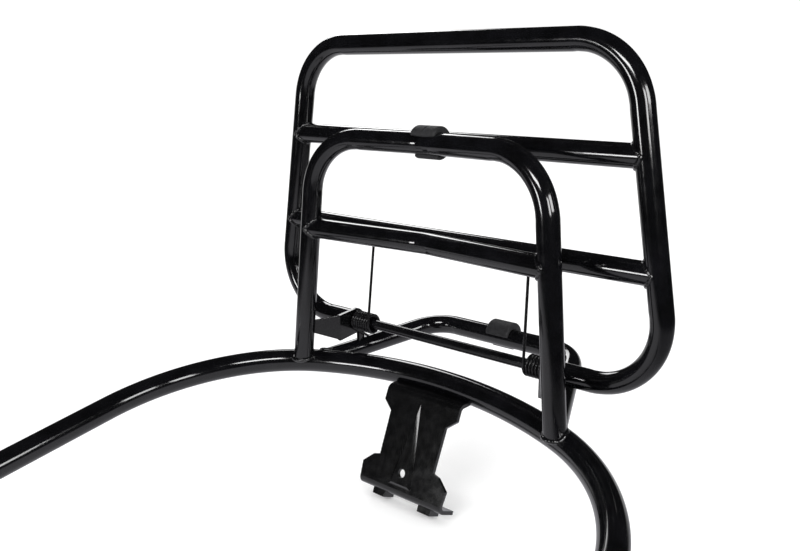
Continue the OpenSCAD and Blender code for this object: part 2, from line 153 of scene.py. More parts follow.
def on_bow(x, v):
    """A point of the bow's tilted plane."""
    return vec(
        x,
        v * math.cos(BOW_TILT) + BOW_ORIGIN.y,
        v * math.sin(BOW_TILT) + BOW_ORIGIN.z,
    )


def flip(p):
    return vec(-p[0], p[1], p[2])


BOW_NORMAL = vec(0, -math.sin(BOW_TILT), math.cos(BOW_TILT))


# Centre lines -------------------------------------------------------------------

# Bends tighter than this show the marks of the bending tool
TIGHT_BEND = 100 * MM


class Run:
    """A centre line made of straights and bends, measured along its length."""

    def __init__(self, points, bends):
        points = [np.asarray(p, float) for p in points]
        self.parts = []
        self.length = 0.0
        here = points[0]
        for i in range(1, len(points) - 1):
            a = unit(points[i] - points[i - 1])
            b = unit(points[i + 1] - points[i])
            turn = math.acos(np.clip(a @ b, -1, 1))
            cut = bends[i - 1] * math.tan(turn / 2)
            self._line(here, points[i] - a * cut)
            inward = unit(b - a * (a @ b))
            self._arc(points[i] - a * cut, a, inward, bends[i - 1], turn)
            here = points[i] + b * cut
        self._line(here, points[-1])

    def _line(self, a, b):
        size = float(np.linalg.norm(b - a))
        if size > 1e-7:
            self.parts.append((self.length, size, "line", a, unit(b - a), None, 0))
            self.length += size

    def _arc(self, start, way, inward, radius, turn):
        size = radius * turn
        self.parts.append((self.length, size, "arc", start, way, inward, radius))
        self.length += size

    def at(self, s):
        """Place, direction and inward direction of the bend (zero on a straight)."""
        for begin, size, kind, start, way, inward, radius in self.parts:
            if s <= begin + size + 1e-9:
                break
        t = s - begin
        if kind == "line":
            return start + way * t, way, np.zeros(3)
        angle = t / radius
        centre = start + inward * radius
        out = -inward * math.cos(angle) + way * math.sin(angle)
        return (
            centre + out * radius,
            way * math.cos(angle) + inward * math.sin(angle),
            -out,
        )

    def bend_edges(self):
        """Places along the line where a bend starts or ends, with that bend's middle."""
        edges = []
        for begin, size, kind, _, _, _, radius in self.parts:
            if kind == "arc" and radius < TIGHT_BEND:
                edges += [(begin, begin + size / 2), (begin + size, begin + size / 2)]
        return edges

    def stations(self, straight=7 * MM, bent=1.7 * MM):
        marks = {0.0, self.length}
        for begin, size, kind, _, _, _, radius in self.parts:
            step = straight if kind == "line" else max(bent, radius * 0.014)
            count = max(2, math.ceil(size / step))
            marks.update(begin + size * i / count for i in range(count + 1))
        for edge, _ in self.bend_edges():
            marks.update(edge + k * 0.9 * MM for k in range(-6, 7))
        marks = sorted(m for m in marks if 0 <= m <= self.length)
        kept = [marks[0]]
        for m in marks[1:]:
            if m - kept[-1] > 0.35 * MM:
                kept.append(m)
        kept[-1] = self.length
        return kept

    def dense(self, step=1.0 * MM):
        count = max(2, math.ceil(self.length / step))
        return np.array([self.at(self.length * i / count)[0] for i in range(count + 1)])


class Mate:
    """The tube that another tube is cut to fit: a centre line and a radius.

    With a saw height, the cut tube also ends in a plane at that height above the bow's plane."""

    # Only this much of the centre line, beyond its nearest place, is searched
    WINDOW = 60 * MM

    def __init__(self, run, radius, saw_height=None):
        self.line = run.dense(2.0 * MM)
        self.radius = radius
        self.saw_height = saw_height

    def nearest(self, points):
        """Distance from each point to the centre line, and the closest place on it."""
        flat = np.asarray(points, float).reshape(-1, 3)
        middle = flat.mean(0)
        near = np.linalg.norm(self.line - middle, axis=1)
        keep = np.where(near < near.min() + self.WINDOW)[0]
        low, high = keep.min(), min(keep.max() + 1, len(self.line) - 1)
        a = self.line[low:high]
        b = self.line[low + 1:high + 1]
        d = b - a
        best = np.full(len(flat), 1e9)
        place = np.zeros((len(flat), 3))
        for i in range(len(a)):
            t = np.clip((flat - a[i]) @ d[i] / (d[i] @ d[i]), 0, 1)
            q = a[i] + t[:, None] * d[i]
            gap = np.linalg.norm(flat - q, axis=1)
            closer = gap < best
            best[closer] = gap[closer]
            place[closer] = q[closer]
        shape = np.shape(points)
        return best.reshape(shape[:-1]), place.reshape(shape)


# Mesh building ------------------------------------------------------------------


def mesh_object(name, verts, faces, smooth=True, origin=HINGE):
    """A mesh whose corners are given from the hinge's middle, unless another origin is named."""
    mesh = bpy.data.meshes.new(name)
    mesh.from_pydata([tuple(np.array(v) + np.array(origin)) for v in verts], [], faces)
    mesh.update()
    bm = bmesh.new()
    bm.from_mesh(mesh)
    bmesh.ops.recalc_face_normals(bm, faces=bm.faces)
    bm.to_mesh(mesh)
    bm.free()
    mesh.polygons.foreach_set("use_smooth", [smooth] * len(mesh.polygons))
    obj = bpy.data.objects.new(name, mesh)
    bpy.context.scene.collection.objects.link(obj)
    return obj


def mark_sharp(obj, degrees=40):
    """Edges sharper than this stay crisp in a smooth-shaded mesh."""
    bm = bmesh.new()
    bm.from_mesh(obj.data)
    for edge in bm.edges:
        if len(edge.link_faces) == 2:
            edge.smooth = edge.calc_face_angle(0) < math.radians(degrees)
    bm.to_mesh(obj.data)
    bm.free()
    return obj


def frames(ways):
    """A pair of directions across each station that turn as little as possible."""
    side = vec(0, 0, 1) if abs(ways[0][2]) < 0.8 else vec(0, 1, 0)
    u = unit(side - ways[0] * (side @ ways[0]))
    result = []
    for way in ways:
        u = unit(u - way * (u @ way))
        result.append((u, np.cross(way, u)))
    return result


def grid_faces(rings, sides, offset=0, close_run=False):
    """The skin between neighbouring rings of corners; close_run joins the last to the first."""
    faces = []
    last = rings if close_run else rings - 1
    for i in range(last):
        j = (i + 1) % rings
        for k in range(sides):
            m = (k + 1) % sides
            faces.append((
                offset + i * sides + k, offset + i * sides + m,
                offset + j * sides + m, offset + j * sides + k,
            ))
    return faces


def capped_faces(rings, sides):
    """The skin between neighbouring rings, closed by a flat cap at each end."""
    first = tuple(range(sides))[::-1]
    last = tuple((rings - 1) * sides + k for k in range(sides))
    return grid_faces(rings, sides) + [first, last]


COPE_STEPS = 420


def cope(base, way, offsets, mate, reach, depth=0.15 * MM):
    """How far each line along a tube runs from its base before it meets the mate."""
    steps = np.linspace(0, reach, COPE_STEPS)
    points = base + offsets[:, None, :] + steps[None, :, None] * way
    gap = mate.nearest(points)[0] - (mate.radius - depth)
    found = np.zeros(len(offsets))
    for k in range(len(offsets)):
        inside = np.where(gap[k] <= 0)[0]
        if len(inside) and inside[0] > 0:
            i = inside[0]
            share = gap[k][i - 1] / (gap[k][i - 1] - gap[k][i])
            found[k] = steps[i - 1] + share * (steps[i] - steps[i - 1])
        else:
            found[k] = steps[int(np.argmin(gap[k]))]
    if mate.saw_height is not None:
        height = (base + offsets - np.array(BOW_ORIGIN)) @ BOW_NORMAL
        found = np.minimum(found, (height - mate.saw_height) / -(way @ BOW_NORMAL))
    return found


def tube(name, run, radius, mates=(None, None), sides=48, pinch=0.22 * MM, trim=34 * MM):
    """A closed tube with a bore, its ends cut to fit their mates, slightly flattened in its bends.

    Returns the object and, for each cut end, the line where its weld bead runs."""
    marks = run.stations()
    lo_end = trim if mates[0] else 0
    hi_end = run.length - (trim if mates[1] else 0)
    marks = [m for m in marks if lo_end <= m <= hi_end]
    if mates[0]:
        marks = [lo_end] + [m for m in marks if m > lo_end + 0.4 * MM]
    if mates[1]:
        marks = [m for m in marks if m < hi_end - 0.4 * MM] + [hi_end]
    data = [run.at(m) for m in marks]
    frame_pairs = frames([d[1] for d in data])
    angles = np.linspace(0, 2 * math.pi, sides, endpoint=False)
    edges = run.bend_edges()

    def around(pair):
        return np.cos(angles)[:, None] * pair[0] + np.sin(angles)[:, None] * pair[1]

    def worn_radius(mark, inward, across):
        """Pinched on the inside where a bend starts or ends, a little flat within the bend."""
        r = np.full(sides, radius)
        for edge, middle in edges:
            just_inside = 0.5 * MM if middle > edge else -0.5 * MM
            start_in = run.at(edge + just_inside)[2]
            facing = np.clip(across @ start_in, 0, 1)
            near = math.exp(-((mark - edge) / (2.1 * MM)) ** 2)
            r -= pinch * near * facing ** 3
        if inward.any() and edges:
            depth = min(abs(mark - e) for e, _ in edges)
            ease = min(1.0, depth / (9 * MM))
            r -= 0.30 * MM * ease * np.abs(across @ inward) ** 2
        return r

    outer, inner = [], []
    for mark, (place, _, inward), pair in zip(marks, data, frame_pairs):
        across = around(pair)
        r = worn_radius(mark, inward, across)
        outer.append(place + across * r[:, None])
        inner.append(place + across * (radius - WALL))

    beads = [None, None]
    for end in (0, 1):
        mate = mates[end]
        if mate is None:
            continue
        i = 0 if end == 0 else -1
        place, way, _ = data[i]
        way = -way if end == 0 else way
        across = around(frame_pairs[i])
        reach = trim + 6 * MM
        runs = [
            cope(place, way, across * size, mate, reach) for size in (radius, radius - WALL)
        ]
        touch = cope(place, way, across * radius, mate, reach, 0)
        beads[end] = (place + across * radius + touch[:, None] * way, across, mate)
        rings_out, rings_in = [], []
        for share in (0.35, 0.65, 0.85, 1.0):
            rings_out.append(place + across * radius + (runs[0] * share)[:, None] * way)
            rings_in.append(place + across * (radius - WALL) + (runs[1] * share)[:, None] * way)
        if end == 0:
            outer = rings_out[::-1] + outer
            inner = rings_in[::-1] + inner
        else:
            outer += rings_out
            inner += rings_in

    count = len(outer)
    verts = np.concatenate(outer + inner)
    faces = grid_faces(count, sides)
    shift = count * sides
    faces += [tuple(reversed(f)) for f in grid_faces(count, sides, shift)]
    for k in range(sides):
        m = (k + 1) % sides
        faces.append((k, shift + k, shift + m, m))
        a = (count - 1) * sides
        faces.append((a + m, shift + a + m, shift + a + k, a + k))
    obj = mark_sharp(mesh_object(name, verts, faces), 50)
    return obj, beads


def smooth_closed(points, passes=2):
    for _ in range(passes):
        points = (np.roll(points, 1, 0) + 2 * points + np.roll(points, -1, 0)) / 4
    return points


def resample(points, step):
    """Even steps along a closed line, and that line's length."""
    loop = np.vstack([points, points[:1]])
    gaps = np.linalg.norm(np.diff(loop, axis=0), axis=1)
    along = np.concatenate([[0], np.cumsum(gaps)])
    count = max(6, int(along[-1] / step))
    marks = np.linspace(0, along[-1], count, endpoint=False)
    return np.stack([np.interp(marks, along, loop[:, i]) for i in range(3)], 1), along[-1]


BEAD_STEP = 0.42 * MM
BEAD_LIFT = 0.5 * MM
BEAD_SINK = 0.12


def bead_parts(path, lift, radius, pitch=2.3 * MM, sides=10):
    """Skin of a weld bead: small overlapping ripples laid along a line, sunk into both parts."""
    centre, length = resample(path, BEAD_STEP)
    push, _ = resample(path + lift, BEAD_STEP)
    count = min(len(centre), len(push))
    centre, push = centre[:count], push[:count]
    ahead = np.roll(centre, -1, 0) - np.roll(centre, 1, 0)
    ways = ahead / np.linalg.norm(ahead, axis=1)[:, None]
    ripples = max(3, round(length / pitch))
    wander = [random.uniform(0, 6.28) for _ in range(4)]
    rings = []
    for i in range(count):
        t = i / count
        wave = (t * ripples) % 1.0
        swell = 1 + 0.13 * (1 - wave) ** 1.5 - 0.05
        swell += 0.07 * math.sin(2 * math.pi * 2 * t + wander[0])
        swell += 0.05 * math.sin(2 * math.pi * 5 * t + wander[1])
        out = push[i] - centre[i]
        out = out - ways[i] * (out @ ways[i])
        size = np.linalg.norm(out)
        out = out / size if size > 1e-9 else unit(np.cross(ways[i], vec(0.3, 0.2, 1)))
        side = np.cross(ways[i], out)
        r = radius * swell
        hub = centre[i] + out * BEAD_SINK * radius
        rings.append([
            hub + r * (math.cos(a) * out + math.sin(a) * side)
            for a in np.linspace(0, 2 * math.pi, sides, endpoint=False)
        ])
    return np.array(rings).reshape(-1, 3), grid_faces(count, sides, close_run=True)


def weld(name, seams, radius, body):
    """One piece holding the beads of several closed seams, each (path, outward lift)."""
    verts, faces = [], []
    for path, lift in seams:
        v, f = bead_parts(path, lift, radius)
        start = sum(len(part) for part in verts)
        verts.append(v)
        faces += [tuple(start + k for k in face) for face in f]
    obj = mesh_object(name, np.concatenate(verts), faces)
    finish(obj, "weld_paint", "paint", body)
    return obj


def seam(bead):
    """The path and lift of the bead around a cut tube end."""
    path, across, mate = bead
    path = smooth_closed(path, 2)
    _, place = mate.nearest(path)
    away = path - place
    away /= np.linalg.norm(away, axis=1)[:, None]
    return path, (away + across) * BEAD_LIFT


# Materials ----------------------------------------------------------------------

MATERIALS = {}


def node_tree(name):
    material = bpy.data.materials.new(name)
    material.use_nodes = True
    tree = material.node_tree
    tree.nodes.clear()
    out = tree.nodes.new("ShaderNodeOutputMaterial")
    shader = tree.nodes.new("ShaderNodeBsdfPrincipled")
    tree.links.new(shader.outputs[0], out.inputs[0])
    coords = tree.nodes.new("ShaderNodeTexCoord")
    MATERIALS[name] = material
    return tree, shader, coords


def noise(tree, coords, scale, detail=3, roughness=0.5, stretch=None):
    texture = tree.nodes.new("ShaderNodeTexNoise")
    texture.inputs["Scale"].default_value = scale
    texture.inputs["Detail"].default_value = detail
    texture.inputs["Roughness"].default_value = roughness
    source = coords.outputs["Object"]
    if stretch:
        mapping = tree.nodes.new("ShaderNodeMapping")
        mapping.inputs["Scale"].default_value = stretch
        tree.links.new(source, mapping.inputs["Vector"])
        source = mapping.outputs[0]
    tree.links.new(source, texture.inputs["Vector"])
    return texture.outputs["Fac"]


def spread(tree, source, low, high, start=0.3, end=0.7):
    """Maps a noise value to a range."""
    node = tree.nodes.new("ShaderNodeMapRange")
    node.inputs["From Min"].default_value = start
    node.inputs["From Max"].default_value = end
    node.inputs["To Min"].default_value = low
    node.inputs["To Max"].default_value = high
    tree.links.new(source, node.inputs["Value"])
    return node.outputs[0]


def two_tone(tree, source, dark, light, start=0.35, end=0.65):
    ramp = tree.nodes.new("ShaderNodeValToRGB")
    ramp.color_ramp.elements[0].position = start
    ramp.color_ramp.elements[0].color = (*dark, 1)
    ramp.color_ramp.elements[1].position = end
    ramp.color_ramp.elements[1].color = (*light, 1)
    tree.links.new(source, ramp.inputs[0])
    return ramp.outputs[0]


def bumps(tree, shader, layers):
    """Stacks bump layers, each (height source, strength, distance)."""
    normal = None
    for source, strength, distance in layers:
        bump = tree.nodes.new("ShaderNodeBump")
        bump.inputs["Strength"].default_value = strength
        bump.inputs["Distance"].default_value = distance
        tree.links.new(source, bump.inputs["Height"])
        if normal:
            tree.links.new(normal, bump.inputs["Normal"])
        normal = bump.outputs[0]
    tree.links.new(normal, shader.inputs["Normal"])
    return normal


def enamel(name, dark, light, rough, peel, coat=0.6):
    """Gloss black stove enamel with a faint orange peel and dust nibs."""
    tree, shader, coords = node_tree(name)
    cloud = noise(tree, coords, 55, 4)
    tree.links.new(two_tone(tree, cloud, dark, light), shader.inputs["Base Color"])
    grain = noise(tree, coords, 160, 3)
    tree.links.new(spread(tree, grain, *rough), shader.inputs["Roughness"])
    shader.inputs["IOR"].default_value = 1.5
    shader.inputs["Coat Weight"].default_value = coat
    shader.inputs["Coat Roughness"].default_value = 0.05
    wave = noise(tree, coords, 210, 1.5, 0.35)
    nibs = noise(tree, coords, 1400, 2, 0.6)
    normal = bumps(tree, shader, [
        (wave, peel, 0.35 * MM),
        (nibs, 0.025, 0.05 * MM),
    ])
    tree.links.new(normal, shader.inputs["Coat Normal"])
    return MATERIALS[name]


enamel("gloss_paint", (0.0012, 0.0012, 0.0015), (0.0030, 0.0030, 0.0038), (0.09, 0.16), 0.045)
enamel("plate_paint", (0.0012, 0.0012, 0.0014), (0.0030, 0.0030, 0.0034), (0.14, 0.24), 0.07, 0.35)
enamel("weld_paint", (0.0015, 0.0015, 0.0018), (0.0040, 0.0040, 0.0046), (0.06, 0.16), 0.15, 0.8)

tree, shader, coords = node_tree("rod_paint")
tree.links.new(
    two_tone(tree, noise(tree, coords, 70, 4), (0.0015, 0.0015, 0.0018), (0.004, 0.004, 0.0046)),
    shader.inputs["Base Color"],
)
tree.links.new(spread(tree, noise(tree, coords, 240, 3), 0.12, 0.2), shader.inputs["Roughness"])
bumps(tree, shader, [(noise(tree, coords, 300, 2), 0.05, 0.15 * MM)])

tree, shader, coords = node_tree("spring_wire")
drawn = noise(tree, coords, 900, 2, 0.5)
tree.links.new(two_tone(tree, drawn, (0.004, 0.004, 0.0045), (0.014, 0.014, 0.015)),
               shader.inputs["Base Color"])
shader.inputs["Metallic"].default_value = 0.35
tree.links.new(spread(tree, noise(tree, coords, 500, 3), 0.14, 0.26), shader.inputs["Roughness"])
bumps(tree, shader, [(noise(tree, coords, 2200, 2), 0.15, 0.04 * MM)])

tree, shader, coords = node_tree("bush_nylon")
tree.links.new(
    two_tone(tree, noise(tree, coords, 300, 3), (0.010, 0.010, 0.011), (0.02, 0.02, 0.022)),
    shader.inputs["Base Color"],
)
tree.links.new(spread(tree, noise(tree, coords, 600, 3), 0.38, 0.55), shader.inputs["Roughness"])
bumps(tree, shader, [(noise(tree, coords, 1500, 3), 0.2, 0.05 * MM)])

tree, shader, coords = node_tree("bumper_rubber")
mottle = noise(tree, coords, 260, 5, 0.6)
tree.links.new(two_tone(tree, mottle, (0.008, 0.008, 0.009), (0.015, 0.015, 0.017)),
               shader.inputs["Base Color"])
tree.links.new(spread(tree, noise(tree, coords, 700, 4), 0.55, 0.75), shader.inputs["Roughness"])
shader.inputs["IOR"].default_value = 1.45
shader.inputs["Sheen Weight"].default_value = 0.03
shader.inputs["Sheen Roughness"].default_value = 0.6
bumps(tree, shader, [
    (noise(tree, coords, 350, 2), 0.15, 0.25 * MM),
    (noise(tree, coords, 2600, 4, 0.7), 0.35, 0.06 * MM),
])


def finish(obj, material, slot, body, *nodes):
    """Gives a piece its material, and lets it ride in place of CAD nodes; its slot is not used."""
    obj.data.materials.clear()
    obj.data.materials.append(MATERIALS[material])
    if nodes:
        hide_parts(*nodes)
    if body:
        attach(obj, body)
    return obj


# The tubes ----------------------------------------------------------------------

FIXED, MOVING = "fixed_frame", "platform"

crown_half = math.asin((BOW_HALF - BOW_CORNER_R) / (BOW_CROWN_R - BOW_CORNER_R))
corner_v = BOW_CROWN_Y - BOW_CROWN_R + (BOW_CROWN_R - BOW_CORNER_R) * math.cos(crown_half)
corner_u = BOW_HALF - BOW_CORNER_R


class Bow(Run):
    """The bow's crown and corners are arcs that run into each other, from left leg to right."""

    def __init__(self):
        self.parts = []
        self.length = 0.0
        left_end = on_bow(-BOW_HALF, corner_v - BOW_LEG)
        left_turn = on_bow(-BOW_HALF, corner_v)
        self._line(left_end, left_turn)
        start, way = left_turn, unit(on_bow(0, 1) - on_bow(0, 0))
        normal = unit(np.cross(on_bow(1, 0) - on_bow(0, 0), on_bow(0, 1) - on_bow(0, 0)))
        arcs = (
            (BOW_CORNER_R, math.pi / 2 - crown_half),
            (BOW_CROWN_R, 2 * crown_half),
            (BOW_CORNER_R, math.pi / 2 - crown_half),
        )
        for radius, turn in arcs:
            inward = -np.cross(normal, way)
            self._arc(start, way, inward, radius, turn)
            start, way, _ = self.at(self.length)
        self._line(start, on_bow(BOW_HALF, corner_v - BOW_LEG))


bow_run = Bow()
bow_mate = Mate(bow_run, BOW_R)

arch_foot = on_bow(ARCH_FOOT_X, ARCH_FOOT_V)
arch_corner = vec(ARCH_TOP_X, ARCH_CORNER_Y, ARCH_TOP_Z)
arch_middle = vec(0, ARCH_CORNER_Y + ARCH_SWEEP, ARCH_TOP_Z - MIDDLE_DROP)
arch_run = Run(
    [flip(arch_foot), flip(arch_corner), arch_middle, arch_corner, arch_foot],
    [ARCH_BEND, ARCH_MIDDLE_BEND, ARCH_BEND],
)
leg_lines = [Run([arch_corner, arch_foot], []), Run([flip(arch_corner), flip(arch_foot)], [])]
leg_right, leg_left = (Mate(run, TUBE_R) for run in leg_lines)

drop = (ARCH_TOP_Z - ARCH_BAR_Z) / (ARCH_TOP_Z - arch_foot[2])
bar_end = arch_corner + (arch_foot - arch_corner) * drop
bar_middle = vec(0, bar_end[1] + ARCH_SWEEP, bar_end[2] - MIDDLE_DROP)
bar_run = Run([flip(bar_end), bar_middle, bar_end], [BAR_MIDDLE_BEND])

loop_front = on_bow(
    LOOP_FRONT_X, corner_v + math.sqrt(BOW_CORNER_R ** 2 - (LOOP_FRONT_X - corner_u) ** 2)
)
loop_corner = on_bow(LOOP_REAR_X, LOOP_REAR_V)
loop_run = Run(
    [flip(loop_front), flip(loop_corner), loop_corner, loop_front], [LOOP_BEND, LOOP_BEND]
)

foot = vec(PLATFORM_FOOT_X, 0, 0)
corner = vec(PLATFORM_TOP_X, 0, PLATFORM_TOP)
back = vec(RETURN_X, 0, 0)
platform_run = Run(
    [flip(back), flip(foot), flip(corner), corner, foot, back], [PLATFORM_BEND] * 4
)
side_right, side_left = (
    Mate(Run([foot, corner], []), TUBE_R), Mate(Run([flip(foot), flip(corner)], []), TUBE_R)
)


def platform_bar(z):
    half = PLATFORM_FOOT_X - (PLATFORM_FOOT_X - PLATFORM_TOP_X) / PLATFORM_TOP * z
    return Run([vec(-half, 0, z), vec(half, 0, z)], [])


bow, _ = tube("bow_tube_steel", bow_run, BOW_R, sides=56)
finish(bow, "gloss_paint", "paint", FIXED, "bow_tube")
foot_mate = Mate(bow_run, BOW_R, LEG_SAW_HEIGHT)
arch, arch_beads = tube("backrest_arch_steel", arch_run, TUBE_R, (foot_mate, foot_mate))
finish(arch, "gloss_paint", "paint", FIXED, "backrest_arch")
bar, bar_beads = tube(
    "backrest_crossbar_steel", bar_run, TUBE_R, (leg_left, leg_right), pinch=0.3 * MM
)
finish(bar, "gloss_paint", "paint", FIXED, "backrest_crossbar")
loop, loop_beads = tube("support_loop_steel", loop_run, TUBE_R, (bow_mate, bow_mate))
finish(loop, "gloss_paint", "paint", FIXED, "support_loop")
platform, _ = tube("platform_frame_steel", platform_run, TUBE_R)
finish(platform, "gloss_paint", "paint", MOVING, "platform_frame")
low_bar, low_beads = tube(
    "platform_lower_bar_steel", platform_bar(LOWER_BAR_Z), TUBE_R, (side_left, side_right)
)
finish(low_bar, "gloss_paint", "paint", MOVING, "platform_lower_crossbar")
high_bar, high_beads = tube(
    "platform_upper_bar_steel", platform_bar(UPPER_BAR_Z), TUBE_R, (side_left, side_right)
)
finish(high_bar, "gloss_paint", "paint", MOVING, "platform_upper_crossbar")

weld("weld_arch_feet", [seam(b) for b in arch_beads], 1.7 * MM, FIXED)
weld("weld_loop_arms", [seam(b) for b in loop_beads], 1.6 * MM, FIXED)
weld("weld_backrest_bar", [seam(b) for b in bar_beads], 1.5 * MM, FIXED)
weld("weld_platform_lower_bar", [seam(b) for b in low_beads], 1.5 * MM, MOVING)
weld("weld_platform_upper_bar", [seam(b) for b in high_beads], 1.5 * MM, MOVING)


# Plates -------------------------------------------------------------------------


def plate(name, node, material, slot, body, bevel=0.45 * MM):
    """A sheet part with its cut edges rounded over, as paint leaves them."""
    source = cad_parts[node]
    mesh = source.data.copy()
    obj = bpy.data.objects.new(name, mesh)
    bpy.context.scene.collection.objects.link(obj)
    bm = bmesh.new()
    bm.from_mesh(mesh)
    bmesh.ops.remove_doubles(bm, verts=bm.verts, dist=0.02 * MM)
    bmesh.ops.dissolve_degenerate(bm, dist=0.02 * MM, edges=bm.edges)
    bmesh.ops.dissolve_limit(
        bm, angle_limit=math.radians(2), verts=bm.verts, edges=bm.edges
    )
    for edge in bm.edges:
        sharp = len(edge.link_faces) == 2 and edge.calc_face_angle(0) > math.radians(24)
        edge.smooth = True
        if sharp:
            edge.seam = True
    sharp_edges = [e for e in bm.edges if e.seam]
    bmesh.ops.bevel(
        bm, geom=sharp_edges, offset=bevel, segments=3, profile=0.5,
        affect="EDGES", clamp_overlap=True, harden_normals=False,
    )
    for edge in bm.edges:
        edge.seam = False
    bm.to_mesh(mesh)
    bm.free()
    mesh.polygons.foreach_set("use_smooth", [True] * len(mesh.polygons))
    normals = obj.modifiers.new("even_faces", "WEIGHTED_NORMAL")
    normals.keep_sharp = False
    normals.weight = 100
    finish(obj, material, slot, body, node)
    return obj


for side in ("left", "right"):
    plate(f"hinge_ear_{side}_plate", f"hinge_ear_{side}", "plate_paint", "paint", FIXED)
    plate(f"bow_tab_{side}_plate", f"bow_tab_{side}", "plate_paint", "paint", FIXED)
plate("tail_bracket_plate", "tail_bracket", "plate_paint", "paint", FIXED, 0.4 * MM)
plate("tail_weld_nuts_plate", "tail_weld_nuts", "plate_paint", "paint", FIXED)


# Hinge rod, bushes and springs --------------------------------------------------


def turned(name, profile, sides=40):
    """A closed turned part around the X axis; profile holds (x, radius) from end to end."""
    angles = np.linspace(0, 2 * math.pi, sides, endpoint=False)
    verts = [(x, r * math.cos(a), r * math.sin(a)) for x, r in profile for a in angles]
    return mark_sharp(mesh_object(name, verts, capped_faces(len(profile), sides)), 50)


ROD_EDGE = 0.6 * MM
rod_inner = ROD_HALF - 4 * MM
rod_profile = [(-ROD_HALF, ROD_R - ROD_EDGE), (-ROD_HALF + ROD_EDGE, ROD_R)]
rod_profile += [(x, ROD_R) for x in np.linspace(-rod_inner, rod_inner, 40)]
rod_profile += [(ROD_HALF - ROD_EDGE, ROD_R), (ROD_HALF, ROD_R - ROD_EDGE)]
finish(turned("hinge_rod_steel", rod_profile), "rod_paint", "paint", FIXED, "hinge_rod")

for side in ("left", "right"):
    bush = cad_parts[f"hinge_bush_{side}"]
    bush.data.materials.clear()
    bush.data.materials.append(MATERIALS["bush_nylon"])
    bush.data.polygons.foreach_set("use_smooth", [True] * len(bush.data.polygons))


def coil_place(turns):
    angle = 2 * math.pi * turns
    return vec(
        COIL_START_X - COIL_LEN * turns / COIL_TURNS,
        -COIL_R * math.cos(angle),
        COIL_R * math.sin(angle),
    )


def spring(name, node, mirror):
    """One torsion spring: short tail, coil and the long leg up to the platform's crossbar."""
    tail_turn = (TAIL_SLOPE - math.pi / 2) / (2 * math.pi)
    tail_start = coil_place(tail_turn)
    away = vec(0, math.cos(TAIL_SLOPE), -math.sin(TAIL_SLOPE))
    tail = [tail_start + away * TAIL_LEN * (1 - i / 8) for i in range(8)]
    steps = COIL_TURNS * 40
    coil = [coil_place(tail_turn + (COIL_TURNS - tail_turn) * i / steps) for i in range(steps + 1)]
    top = vec(LEG_TOP_X, 0, LOWER_BAR_Z + LEG_ENTRY)
    leg = [coil[-1] + (top - coil[-1]) * i / 24 for i in range(1, 25)]
    path = np.array(tail + coil + leg)
    middle = path.copy()
    middle[1:-1] = (path[:-2] + 2 * path[1:-1] + path[2:]) / 4
    if mirror:
        middle[:, 0] *= -1
    ahead = np.gradient(middle, axis=0)
    ways = ahead / np.linalg.norm(ahead, axis=1)[:, None]
    sides = 14
    rings = []
    for place, pair in zip(middle, frames(list(ways))):
        for k in range(sides):
            a = 2 * math.pi * k / sides
            rings.append(place + WIRE_R * (math.cos(a) * pair[0] + math.sin(a) * pair[1]))
    obj = mark_sharp(mesh_object(name, rings, capped_faces(len(middle), sides)), 60)
    finish(obj, "spring_wire", "spring", None, node)
    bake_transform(obj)
    return obj


spring("spring_right_wire", "spring_right", False)
spring("spring_left_wire", "spring_left", True)


# Bumper clips -------------------------------------------------------------------

CLIP_OUTER = 12 * MM
CLIP_ROUND = 1.5 * MM
CLIP_SHIFT = vec(1.9 * MM, 0.65 * MM)
MOUTH_TOP, MOUTH_BOTTOM = math.radians(40), math.radians(-75)
LOWER_CLIP_TURN = math.radians(22)


